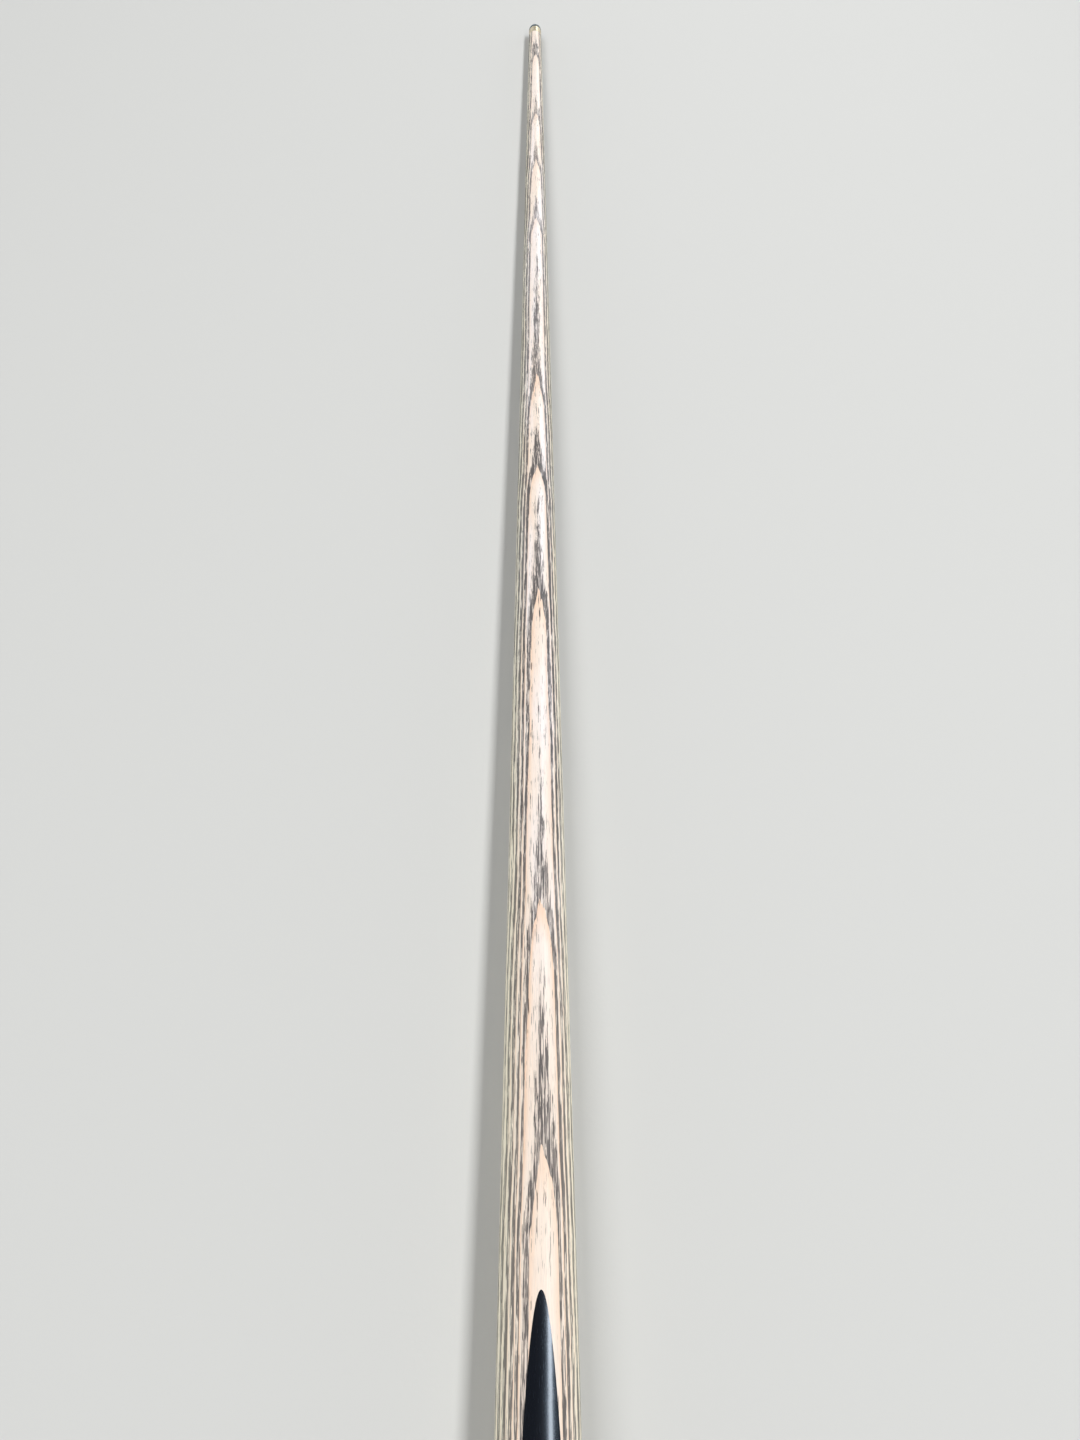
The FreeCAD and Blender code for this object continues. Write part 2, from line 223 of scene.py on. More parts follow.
# Grains are (mm across, mm along, detail, seed, roughness of the noise). Cuts are the two noise
# values between which a mark comes in. Zones are in mm from the butt, from none of it to all of it.
ashLook = {
    "ringThickness": 2.1,
    # (mm from the tip end, ring number on top there): a flame's apex is at each whole number
    "flames": (
        (0, 0.8), (43, 0.2), (62, 0.0), (84, -0.5), (130, -0.74), (166, -1.0), (188, -1.52),
        (221, -1.78), (240, -2.0), (260, -2.5), (297, -2.8), (317, -3.0), (337, -3.62), (407, -3.77),
        (447, -3.85), (486, -4.0), (504, -4.5), (527, -4.74), (552, -5.0), (568, -5.6), (606, -5.85),
        (630, -6.0), (654, -6.42), (739, -6.7), (773, -7.0), (793, -7.55), (818, -7.8), (852, -8.0),
        (874, -8.5), (950, -8.9), (1000, -9.4), (1100, -10.3), (1460, -13.0),
    ),
    "easing": 9,              # how far along the corners between those are rounded
    "pastEnds": 30,           # how far the ring numbers go on past both ends of the cue
    "pinch": 0.10,            # makes the flames' apexes sharper
    "sideStarts": 0.45,       # share of the radius where the rings begin to stand closer
    "sideCrowding": 0.7,
    "deepStarts": 0.3,        # share of the radius below which the rings stand wider apart again
    "deepSpread": 0.45,
    "lean": 0.1,              # sideways slope of the rings from mid shaft to the splices
    "leanZone": (915, 660),
    "swell": 0.9, "swellGrain": (7, 55, 1.0, 0.3),          # slow wander of the rings, in mm
    "ripple": 0.42, "rippleGrain": (1.2, 14, 1.0, 0.7),     # quick wander

    # where the wood changes, and where the painted reflection on the cue's sides comes in: heights are
    # shares of the radius above the axis
    "slimZone": (680, 920), "spliceZone": (740, 620), "tipZone": (1100, 1460),
    "flankHeights": (0.8, 0.97), "paintedReflectionHeights": (0.35, 0.95),

    # the dark early wood and the warm late wood, as shares of one ring
    "earlyWood": (0.1, 0.4), "lateWood": (0.3, 1.0), "lateSharpness": 3.2,
    "bandShift": {"flank": -0.3, "slimFlank": -0.12, "nearSplice": 0.04, "luck": -0.16},

    # pores: short dark dashes, crowded in the early wood and rare elsewhere
    "poreGrain": (0.38, 10, 3.0, 1.1, 0.6), "poreCut": (-0.004, 0.014), "poreRarity": 0.66,
    "poreCrowding": {"anywhere": 0.075, "flank": 0.07, "slim": 0.065, "luck": 0.07},
    "patchGrain": (0.9, 40, 1.0, 7.7), "patchiness": 0.4, "tipThinning": 0.03,
    "faintestRing": 0.82, "spliceFading": 0.1,
    # threads: thin dark lines outside the bands too
    "threadGrain": (0.3, 10, 2.0, 4.7, 0.6), "threadCut": (0.665, 0.695), "threadCrowding": 0.2,
    "threadZone": (1460, 1000), "threadStrength": (0.45, 0.85),

    "streakGrain": (0.22, 34, 2.0, 2.3, 0.6), "veilCut": (0.42, 0.6), "lineCut": (0.45, 0.72),
    "fleckGrain": (0.12, 5, 3.0, 3.9, 0.6), "fleckCut": (0.48, 0.75),
    "broadGrain": (5, 90, 1.0, 5.1), "creamCut": (0.35, 0.65),
    "pale": (0.88, 0.82, 0.805),
    "cream": (0.86, 0.74, 0.635),
    "peach": (0.84, 0.53, 0.33),
    # painted reflection: a light straw tint laid on the cue's sides, standing in for coloured light bounced
    # onto them
    "paintedReflectionTint": (0.93, 0.885, 0.67),
    "veil": (0.25, 0.235, 0.27),
    "pore": (0.014, 0.015, 0.022),
    "paintedReflectionShare": 0.75, "peachShare": (0.25, 0.62), "sidePeachLoss": 0.8, "lineShare": 0.2,
    "fleckShare": 0.34, "veilShare": 0.3, "flankVeilLoss": 0.6, "poreShare": 0.95,

    "sheenCut": (0.2, 0.8), "roughness": (0.34, 0.46), "poreRoughness": 0.25,
    "fleckHeight": 0.35, "relief": 0.03,
}


# ring number on the upper line of the shaft, with the corners between the flames' places eased
def ringsOnTop():
    past = ashLook["pastEnds"]
    away = np.arange(-float(past), cueTaper["length"] + past + 1)
    knots = np.array(ashLook["flames"], float)
    straight = np.interp(away, knots[:, 0], knots[:, 1])
    reach = ashLook["easing"]
    kernel = np.hanning(2 * reach + 1)
    return away, np.convolve(np.pad(straight, reach, mode="edge"), kernel / kernel.sum(), mode="valid")


def writeRings(obj):
    away, rings = ringsOnTop()
    store = obj.data.attributes.new("ringOnTop", "FLOAT", "POINT")
    values = [np.interp(cueTaper["length"] - v.co.y / mm, away, rings) for v in obj.data.vertices]
    store.data.foreach_set("value", np.array(values, np.float32))


# the growth ring at each point of the wood: a whole number where one ends and the next begins
def ringPhase(tree, place, x, y, z, radius):
    look = ashLook
    ringTop = addNode(tree, "ShaderNodeAttribute", attribute_name="ringOnTop").outputs["Fac"]
    swell = stretchedNoise(tree, place, *look["swellGrain"])
    ripple = stretchedNoise(tree, place, *look["rippleGrain"])
    lean = alongCue(tree, y, look["leanZone"], 0.0, look["lean"])
    depth = maths(tree, "SUBTRACT", radius, timesPlus(tree, x, lean, z))
    deeper = maths(tree, "MAXIMUM", timesPlus(tree, radius, -look["deepStarts"], depth), 0.0)
    depth = timesPlus(tree, deeper, -look["deepSpread"], depth)
    depth = timesPlus(tree, maths(tree, "SUBTRACT", swell, 0.5), look["swell"] * mm, depth)
    depth = timesPlus(tree, maths(tree, "SUBTRACT", ripple, 0.5), look["ripple"] * mm, depth)
    aside = maths(tree, "ABSOLUTE", x)
    depth = timesPlus(tree, aside, look["pinch"], depth)
    # past sideStarts the rings stand closer, on the back as on the front
    share = 1 - look["sideStarts"]
    beyond = timesPlus(tree, radius, -look["sideStarts"], aside)
    beyond = timesPlus(tree, radius, -share, maths(tree, "MAXIMUM", beyond, 0.0))
    beyond = times(tree, beyond, maths(tree, "SIGN", z))
    beyond = timesPlus(tree, radius, share, beyond)
    depth = timesPlus(tree, beyond, look["sideCrowding"], depth)
    return timesPlus(tree, depth, 1 / (look["ringThickness"] * mm), ringTop)


def darkPores(tree, place, y, grain):
    look, crowding = ashLook, ashLook["poreCrowding"]
    dashes = stretchedNoise(tree, place, *look["poreGrain"])
    crowd = timesPlus(tree, grain["flank"], crowding["flank"], crowding["anywhere"])
    crowd = timesPlus(tree, grain["slim"], crowding["slim"], crowd)
    crowd = timesPlus(tree, grain["luck"], crowding["luck"], crowd)
    crowd = timesPlus(tree, grain["early"], crowd, -look["poreRarity"])
    # here and there a whole stretch of them fades
    patches = stretchedNoise(tree, place, *look["patchGrain"])
    crowd = timesPlus(tree, maths(tree, "SUBTRACT", patches, 0.5), look["patchiness"], crowd)
    crowd = timesPlus(tree, grain["toTip"], -look["tipThinning"], crowd)
    pores = between(tree, maths(tree, "ADD", dashes, crowd), look["poreCut"])
    pores = times(tree, pores, between(tree, grain["luck"], (0.0, 1.0), look["faintestRing"], 1.0))
    threads = stretchedNoise(tree, place, *look["threadGrain"])
    threads = between(tree, timesPlus(tree, grain["early"], look["threadCrowding"], threads),
                      look["threadCut"])
    threads = times(tree, threads, alongCue(tree, y, look["threadZone"], *look["threadStrength"]))
    pores = maths(tree, "MAXIMUM", pores, threads)
    return times(tree, pores, timesPlus(tree, grain["nearSplice"], -look["spliceFading"], 1.0))


def makeAsh():
    look, shift = ashLook, ashLook["bandShift"]
    material, tree, shader, place = newMaterial(
        "oiledAsh", **{"Coat Weight": 0.16, "Coat Roughness": 0.3, "Specular IOR Level": 0.3})
    x, y, z = addNode(tree, "ShaderNodeSeparateXYZ", {0: place}).outputs
    radius = timesPlus(tree, y, -cueTaper["taper"], cueTaper["buttRadius"] * mm)
    phase = ringPhase(tree, place, x, y, z, radius)
    part = maths(tree, "FRACT", phase)
    luck = addNode(tree, "ShaderNodeTexWhiteNoise", {"W": maths(tree, "FLOOR", phase)},
                   noise_dimensions="1D").outputs["Value"]

    # the dark bands are narrower on the flanks, most of all towards the tip
    flank = between(tree, maths(tree, "DIVIDE", z, radius), look["flankHeights"], 1.0, 0.0)
    slim = alongCue(tree, y, look["slimZone"])
    nearSplice = alongCue(tree, y, look["spliceZone"])
    widen = times(tree, flank, timesPlus(tree, slim, shift["slimFlank"], shift["flank"]))
    widen = timesPlus(tree, nearSplice, shift["nearSplice"], widen)
    widen = timesPlus(tree, luck, shift["luck"], widen)
    early = between(tree, maths(tree, "ADD", part, widen), look["earlyWood"], 1.0, 0.0)
    late = maths(tree, "POWER", between(tree, part, look["lateWood"]), look["lateSharpness"])
    toTip = alongCue(tree, y, look["tipZone"])
    pores = darkPores(tree, place, y, {"flank": flank, "slim": slim, "nearSplice": nearSplice,
                                       "toTip": toTip, "early": early, "luck": luck})

    streaks = stretchedNoise(tree, place, *look["streakGrain"])
    flecks = stretchedNoise(tree, place, *look["fleckGrain"])
    broad = stretchedNoise(tree, place, *look["broadGrain"])
    veil = times(tree, early, between(tree, streaks, look["veilCut"]))
    veil = times(tree, veil, timesPlus(tree, flank, -look["flankVeilLoss"], 1.0))

    # painted reflection: low on the section, the shaft's sides are tinted straw and lightened as if by
    # bounced light, and the late wood's peach fades there
    side = between(tree, maths(tree, "DIVIDE", z, radius), look["paintedReflectionHeights"], 1.0, 0.0)
    creamy = maths(tree, "MAXIMUM", between(tree, broad, look["creamCut"]),
                   maths(tree, "MAXIMUM", nearSplice, toTip))
    colour = blendColours(tree, creamy, look["pale"], look["cream"])
    colour = blendColours(tree, times(tree, side, look["paintedReflectionShare"]), colour, look["paintedReflectionTint"])
    peachy = times(tree, late, between(tree, luck, (0.0, 1.0), *look["peachShare"]))
    peachy = times(tree, peachy, timesPlus(tree, side, -look["sidePeachLoss"], 1.0))
    colour = blendColours(tree, peachy, colour, look["peach"])
    marks = (
        (between(tree, streaks, look["lineCut"]), look["lineShare"], look["peach"]),
        (between(tree, flecks, look["fleckCut"]), look["fleckShare"], look["veil"]),
        (veil, look["veilShare"], look["veil"]),
        (pores, look["poreShare"], look["pore"]),
    )
    for where, share, tint in marks:
        colour = blendColours(tree, times(tree, where, share), colour, tint)

    sheen = between(tree, flecks, look["sheenCut"], *look["roughness"])
    roughness = timesPlus(tree, pores, look["poreRoughness"], sheen)
    height = timesPlus(tree, pores, -1.0, times(tree, flecks, look["fleckHeight"]))
    setLook(tree, shader, colour, roughness, height, look["relief"])
    return material


ebonyLook = {
    "black": (0.0028, 0.003, 0.0055), "brown": (0.009, 0.0066, 0.0072),
    "streakGrain": (1.1, 60, 3.0, 8.2), "streakCut": (0.45, 0.8),
    "poreGrain": (0.16, 3.2, 2.0, 6.4), "poreCut": (0.62, 0.72), "poreRoughness": 0.12,
    "rubGrain": (4, 30, 3.0, 9.9), "rubCut": (0.3, 0.7), "roughness": (0.2, 0.28),
    "sandingGrain": (9, 0.3, 2.0, 2.6, 0.6), "sandingHeight": 0.7,      # marks left round the cue
    "relief": 0.003,
}


def makeEbony():
    look = ebonyLook
    material, tree, shader, place = newMaterial(
        "polishedEbony", **{"Coat Weight": 1.0, "Coat Roughness": 0.16, "Coat Tint": (0.8, 0.9, 1.0, 1.0),
                            "Specular IOR Level": 1.0, "Specular Tint": (0.78, 0.89, 1.0, 1.0)})
    streaks = stretchedNoise(tree, place, *look["streakGrain"])
    dashes = stretchedNoise(tree, place, *look["poreGrain"])
    pores = between(tree, dashes, look["poreCut"])
    colour = blendColours(tree, between(tree, streaks, look["streakCut"]), look["black"], look["brown"])
    rubbed = stretchedNoise(tree, place, *look["rubGrain"])
    sheen = between(tree, rubbed, look["rubCut"], *look["roughness"])
    roughness = timesPlus(tree, pores, look["poreRoughness"], sheen)
    sanding = stretchedNoise(tree, place, *look["sandingGrain"])
    height = timesPlus(tree, pores, -1.0, times(tree, sanding, look["sandingHeight"]))
    setLook(tree, shader, colour, roughness, height, look["relief"])
    return material


veneerLook = {
    "maple": {"light": (0.74, 0.52, 0.27), "dark": (0.52, 0.32, 0.14)},
    "rosewood": {"light": (0.26, 0.07, 0.035), "dark": (0.07, 0.018, 0.012)},
}
veneerGrain = {
    "streakGrain": (0.35, 22, 3.0, 4.4), "streakCut": (0.35, 0.7),
    "poreGrain": (0.12, 2.5, 2.0, 2.2), "poreCut": (0.6, 0.72), "poreShare": 0.5,
    "sheenCut": (0.3, 0.7), "roughness": (0.26, 0.38), "relief": 0.01,
}


def makeVeneer(name):
    look, grain = veneerLook[name], veneerGrain
    material, tree, shader, place = newMaterial(
        name + "Veneer", **{"Coat Weight": 0.5, "Coat Roughness": 0.16})
    streaks = stretchedNoise(tree, place, *grain["streakGrain"])
    dashes = stretchedNoise(tree, place, *grain["poreGrain"])
    colour = blendColours(tree, between(tree, streaks, grain["streakCut"]), look["light"], look["dark"])
    pores = between(tree, dashes, grain["poreCut"])
    colour = blendColours(tree, times(tree, pores, grain["poreShare"]), colour, look["dark"])
    roughness = between(tree, dashes, grain["sheenCut"], *grain["roughness"])
    setLook(tree, shader, colour, roughness, times(tree, pores, -1.0), grain["relief"])
    return material


# marks: which way the tool went; dull: how much of the surface has gone brown
metalLook = {
    "ferruleBrass": {"bright": (0.66, 0.55, 0.34), "tarnish": (0.22, 0.16, 0.08),
                     "marks": "turned", "dull": 0.55, "shine": 0.18},
    "jointBrass": {"bright": (0.82, 0.62, 0.29), "tarnish": (0.42, 0.28, 0.11),
                   "marks": "turned", "dull": 0.2, "shine": 0.18},
    "badgeBrass": {"bright": (0.84, 0.67, 0.36), "tarnish": (0.45, 0.32, 0.14),
                   "marks": "brushed", "dull": 0.15, "shine": 0.24},
    "weightMetal": {"bright": (0.34, 0.35, 0.37), "tarnish": (0.17, 0.175, 0.18),
                    "marks": "turned", "dull": 0.6, "shine": 0.48},
}
metalWear = {
    "turned": (14, 0.16, 2.0, 1.9), "brushed": (0.09, 6, 2.0, 1.9),     # round the axis, or along the cue
    "markCut": (0.3, 0.7), "markRoughness": 0.1,
    "blotchGrain": (3.5, 3.5, 4.0, 7.3, 0.6), "blotchCut": (0.42, 0.72),
    "scuffGrain": (0.5, 0.5, 3.0, 5.7, 0.6), "scuffCut": (0.58, 0.72), "scuffShare": 0.12,
    "scuffHeight": 0.4, "dullRoughness": 0.35, "relief": 0.012,
}


def makeMetal(name):
    look, wear = metalLook[name], metalWear
    material, tree, shader, place = newMaterial(name, Metallic=1.0)
    marks = stretchedNoise(tree, place, *wear[look["marks"]])
    blotches = stretchedNoise(tree, place, *wear["blotchGrain"])
    scuffs = stretchedNoise(tree, place, *wear["scuffGrain"])
    dull = times(tree, between(tree, blotches, wear["blotchCut"]), look["dull"])
    dull = timesPlus(tree, between(tree, scuffs, wear["scuffCut"]), wear["scuffShare"], dull, clamp=True)
    colour = blendColours(tree, dull, look["bright"], look["tarnish"])
    sheen = between(tree, marks, wear["markCut"], look["shine"], look["shine"] + wear["markRoughness"])
    roughness = timesPlus(tree, dull, wear["dullRoughness"], sheen)
    height = timesPlus(tree, marks, 1.0, times(tree, scuffs, wear["scuffHeight"]))
    setLook(tree, shader, colour, roughness, height, wear["relief"])
    return material


# size: one grain of the surface, in mm
softLook = {
    "bumperRubber": {"base": (0.018, 0.018, 0.019), "worn": (0.055, 0.053, 0.05), "size": 0.35,
                     "roughness": (0.55, 0.78), "relief": 0.05},
    "tipLeather": {"base": (0.055, 0.085, 0.095), "worn": (0.16, 0.27, 0.31), "size": 0.3,
                   "roughness": (0.8, 0.95), "relief": 0.09},
    "tipFibre": {"base": (0.022, 0.022, 0.024), "worn": (0.06, 0.058, 0.055), "size": 0.2,
                 "roughness": (0.45, 0.6), "relief": 0.02},
}
softWear = {
    "grain": (4.0, 3.1, 0.65), "grainCut": (0.35, 0.65), "sheenCut": (0.3, 0.7),
    "patch": (3.0, 6.6, 0.6), "patchCut": (0.4, 0.65), "patchSize": 8,      # in grains
}


def makeSoft(name):
    look, wear = softLook[name], softWear
    material, tree, shader, place = newMaterial(name, **{"Specular IOR Level": 0.35})
    size, patchSize = look["size"], wear["patchSize"] * look["size"]
    grain = stretchedNoise(tree, place, size, size, *wear["grain"])
    patches = stretchedNoise(tree, place, patchSize, patchSize, *wear["patch"])
    worn = times(tree, between(tree, patches, wear["patchCut"]), between(tree, grain, wear["grainCut"]))
    colour = blendColours(tree, worn, look["base"], look["worn"])
    roughness = between(tree, grain, wear["sheenCut"], *look["roughness"])
    setLook(tree, shader, colour, roughness, grain, look["relief"])
    return material


ash, ebony = makeAsh(), makeEbony()
maple, rosewood = makeVeneer("maple"), makeVeneer("rosewood")
metals = {name: makeMetal(name) for name in metalLook}
softs = {name: makeSoft(name) for name in softLook}
print("materials made")


# a bed is level up to "climbs" and then rises straight to meet the surface at "point"
spliceBeds = {
    "level": 8.3,
    "long": {"climbs": 482.0, "point": 572.0},     # front and back
    "short": {"climbs": 437.0, "point": 527.0},    # left and right
}

shaftWood = {
    "start": 375.05, "shoulder": 1445.2, "tenonEnd": 1454.0, "tenonRadius": 3.95,
    "bore": 6.3, "boreEnd": 399.1,
}


def bedHeight(y, kind):
    bed = spliceBeds[kind]
    rise = radiusAt(bed["point"]) - spliceBeds["level"]
    return spliceBeds["level"] + rise * max(0.0, y - bed["climbs"]) / (bed["point"] - bed["climbs"])


# a quarter of the ash section runs from the front bed round to the side bed
def ashRing(y):
    radius, front, side = radiusAt(y), bedHeight(y, "long"), bedHeight(y, "short")
    first = math.acos(min(1.0, front / radius))
    last = math.pi / 2 - math.acos(min(1.0, side / radius))
    parts = meshDetail["arcParts"]
    quarter = arcPoints(radius, first, last, parts) if first < last else [(side, front)] * (parts + 1)
    back = quarter[::-1]
    return (quarter + [(x, -z) for x, z in back] + [(-x, -z) for x, z in quarter]
            + [(-x, z) for x, z in back])


# points at one radius, at the angles of a given ring. At the joint end those angles crowd at the
# section's four corners, so the bore made there is square and not round.
def roundLike(ring, radius):
    return [(radius * x / math.hypot(x, z), radius * z / math.hypot(x, z)) for x, z in ring]


def makeShaft():
    wood = shaftWood
    first, last = ashRing(wood["start"]), ashRing(wood["shoulder"])
    rings = [(wood["boreEnd"], roundLike(first, nearAxis)),
             (wood["boreEnd"], roundLike(first, wood["bore"])),
             (wood["start"], roundLike(first, wood["bore"]))]
    longPoint, shortPoint = spliceBeds["long"]["point"], spliceBeds["short"]["point"]
    places = set(stationsAlong(wood["start"], wood["shoulder"], longPoint))
    places |= set(stationsAlong(wood["start"], shortPoint, shortPoint))
    rings += [(y, ashRing(y)) for y in sorted(places)]
    rings += [(wood["shoulder"], roundLike(last, wood["tenonRadius"])),
              (wood["tenonEnd"], roundLike(last, wood["tenonRadius"]))]
    shaft = loftPiece("ashShaft", rings)
    writeRings(shaft)
    placePiece(shaft, "shaft", "ash_shaft", ash)


# the front and back splices stop at the side beds, and the side ones take the corners
def makeShaftSplices():
    sides = (("front", "long", 0, spliceBeds["level"]), ("right", "short", 1, math.inf),
             ("back", "long", 2, spliceBeds["level"]), ("left", "short", 3, math.inf))
    for side, kind, turns, width in sides:
        point = spliceBeds[kind]["point"]
        rings = []
        for y in stationsAlong(shaftWood["start"], point, point):
            radius = radiusAt(y)
            rings.append((y, rolled(bandRing(radius, bedHeight(y, kind), radius, width), turns)))
        splice = loftPiece("shaftSplice" + side.capitalize(), rings)
        placePiece(splice, "shaft", "shaft_splice_" + side, ebony)


makeShaft()
makeShaftSplices()
print("shaft and its splices made")


buttWood = {
    "start": 5.0, "end": 360.95, "bevel": 1.0,
    "flatStart": 12.3, "flatEnd": 13.96, "flatLength": 80.0,    # the flat's height at 0 and where it ends
    "badgeAt": 22.0, "badgeHole": 5.55, "badgeDepth": 1.0,
    "cutterAround": 96, "cutterAbove": 3.0,                     # the drill that lets the badge in
}
faceVeneers = {"bedStart": 7.5, "climb": 0.016868, "thickness": 0.7}
facingLayer = 2               # layer 0 is the light veneer and 1 the dark one


def buttRadius(y):
    return radiusAt(y) - max(0.0, buttWood["bevel"] - (y - buttWood["start"]))


def flatHeight(y):
    rise = buttWood["flatEnd"] - buttWood["flatStart"]
    return buttWood["flatStart"] + rise * y / buttWood["flatLength"]


# height of the bed that a layer lies on
def layerBed(y, layer):
    return (faceVeneers["bedStart"] + faceVeneers["climb"] * (y - buttWood["start"])
            + layer * faceVeneers["thickness"])


# where that bed comes out of the butt's surface
def layerPoint(layer):
    top = cueTaper["buttRadius"] + faceVeneers["climb"] * buttWood["start"]
    rise = faceVeneers["climb"] + cueTaper["taper"]
    return (top - faceVeneers["bedStart"] - layer * faceVeneers["thickness"]) / rise


# lets the round badge into the flat
def sinkBadge(facing):
    slope = math.atan2(buttWood["flatEnd"] - buttWood["flatStart"], buttWood["flatLength"])
    above, depth, y = buttWood["cutterAbove"], buttWood["badgeDepth"], buttWood["badgeAt"]
    bpy.ops.mesh.primitive_cylinder_add(vertices=buttWood["cutterAround"],
                                        radius=buttWood["badgeHole"] * mm, depth=(depth + above) * mm)
    cutter = bpy.context.active_object
    cutter.matrix_world = (Matrix.Translation((0, y * mm, flatHeight(y) * mm))
                           @ Matrix.Rotation(slope, 4, "X")
                           @ Matrix.Translation((0, 0, (above - depth) / 2 * mm)))
    cut = facing.modifiers.new("badgeSeat", "BOOLEAN")
    cut.operation, cut.object, cut.solver = "DIFFERENCE", cutter, "EXACT"
    bpy.context.view_layer.update()
    ready = facing.evaluated_get(bpy.context.evaluated_depsgraph_get())
    facing.data = bpy.data.meshes.new_from_object(ready)
    facing.modifiers.clear()
    bpy.data.objects.remove(cutter)
    finishMesh(facing)


def makeFaceLayers():
    layers = (("lightVeneer", "veneer_light", "veneer_maple", maple),
              ("darkVeneer", "veneer_dark", "veneer_rosewood", rosewood),
              ("buttFacing", "butt_facing", "ebony", ebony))
    for layer, (name, node, slot, material) in enumerate(layers):
        point = layerPoint(layer)
        bevelEnd = buttWood["start"] + buttWood["bevel"]
        rings = []
        for y in stationsAlong(buttWood["start"], point, point, (bevelEnd,)):
            radius = buttRadius(y)
            top = flatHeight(y) if layer == facingLayer else layerBed(y, layer + 1)
            rings.append((y, bandRing(radius, layerBed(y, layer), min(top, radius))))
        piece = loftPiece(name, rings)
        if layer == facingLayer:
            sinkBadge(piece)
        placePiece(piece, "butt", node, material)


def makeButtSplices():
    level, start, end = spliceBeds["level"], buttWood["start"], buttWood["end"]
    bevelEnd = start + buttWood["bevel"]

    # the front one is cut off above by the light veneer's bed
    frontStart = start + (level - faceVeneers["bedStart"]) / faceVeneers["climb"]
    extra = [frontStart + gap for gap in meshDetail["thinEndGaps"]]
    rings = [(y, bandRing(radiusAt(y), level, max(level, layerBed(y, 0)), level))
             for y in stationsAlong(frontStart, end, layerPoint(0), extra)]
    placePiece(loftPiece("buttSpliceFront", rings), "butt", "butt_splice_front", ebony)

    rings = [(y, rolled(bandRing(buttRadius(y), level, buttRadius(y), level), 2))
             for y in stationsAlong(start, end, None, (bevelEnd,))]
    placePiece(loftPiece("buttSpliceBack", rings), "butt", "butt_splice_back", ebony)

    for side, sign in (("Right", 1), ("Left", -1)):
        rings = []
        for y in stationsAlong(start, end, None, (bevelEnd,)):
            radius = buttRadius(y)
            corner = math.sqrt(radius ** 2 - level ** 2)
            top = min(corner, layerBed(y, 0))
            ring = [(level, -corner), (level, top)]
            ring += arcPoints(radius, math.acos(top / radius), math.acos(-corner / radius),
                              2 * meshDetail["arcParts"])
            rings.append((y, [(sign * x, z) for x, z in ring]))
        piece = loftPiece("buttSplice" + side, rings)
        placePiece(piece, "butt", "butt_splice_" + side.lower(), ebony)


makeFaceLayers()
makeButtSplices()
print("butt made")


jointThread = {
    "pitch": 2.5, "depth": 1.25, "pinRadius": 4.75, "boreRadius": 4.81,
    "around": 72, "rowsPerTurn": 14,
    "fade": 1.6, "faintest": 0.02,            # length over which a thread runs out, and what is left of it
    "crest": 0.12, "flank": 0.72,             # shares of half a pitch
    "plainAtMouth": 0.8, "plainAtBottom": 0.5,
    "sharpAngle": 40,
}


# 0 on the crest of the pin's thread and 1 in its root
def toothShape(turns):
    rise = abs(2 * (turns % 1.0) - 1)
    return min(1.0, max(0.0, (rise - jointThread["crest"]) / jointThread["flank"]))


# rows are (y, widest radius, crest radius, thread depth)
def threadedPiece(name, rows):
    around = jointThread["around"]
    rings = []
    for y, widest, crest, depth in rows:
        ring = []
        for k in range(around):
            share = k / around
            reach = min(widest, crest - depth * toothShape(y / jointThread["pitch"] + share))
            turn = 2 * math.pi * share
            ring.append((reach * math.sin(turn), reach * math.cos(turn)))
        rings.append((y, ring))
    return loftPiece(name, rings, jointThread["sharpAngle"])


# a thread that runs out at both ends, with its last crests turned down by a chamfer
def threadRows(start, end, crest, chamfer=0.0):
    thread = jointThread
    steps = round(abs(end - start) / thread["pitch"] * thread["rowsPerTurn"])
    rows = []
    for k in range(steps + 1):
        y = start + (end - start) * k / steps
        fromEnd = abs(end - y)
        fade = min(abs(y - start), fromEnd) / thread["fade"]
        depth = thread["depth"] * min(1.0, max(thread["faintest"], fade))
        rows.append((y, crest - max(0.0, chamfer - fromEnd), crest, depth))
    return rows


def plain(y, radius):
    return (y, radius, radius, 0.0)


# a threaded bore, from its closed end out to the face
def boreRows(bottom, face, mouth):
    thread = jointThread
    radius = thread["boreRadius"]
    rows = [plain(bottom, nearAxis), plain(bottom, radius)]
    rows += threadRows(bottom - thread["plainAtBottom"], face + thread["plainAtMouth"], radius)
    return rows + [plain(face, radius + mouth)]


def placeBrass(name, rows, body, node):
    placePiece(threadedPiece(name, rows), body, node, metals["jointBrass"])


jointPin = {"start": 348.0, "foot": 0.3, "threadStart": 367.2, "end": 393.0, "chamfer": 1.0, "nose": 0.6}


def makeJointScrew():
    pin, radius = jointPin, jointThread["pinRadius"]
    start, end, foot = pin["start"], pin["end"], pin["foot"]
    rows = [plain(start, nearAxis), plain(start, radius - foot), plain(start + foot, radius)]
    rows += threadRows(pin["threadStart"], end, radius, pin["chamfer"])
    rows += [plain(end, radius - pin["chamfer"] - pin["nose"]), plain(end, nearAxis)]
    placeBrass("jointScrew", rows, "butt", "joint_pin")


shaftCollar = {
    "face": 368.0, "mouth": 0.35, "bevel": 0.3, "ringEnd": 375.0,
    "stem": 6.25, "stemEnd": 399.0, "boreEnd": 395.0,
}


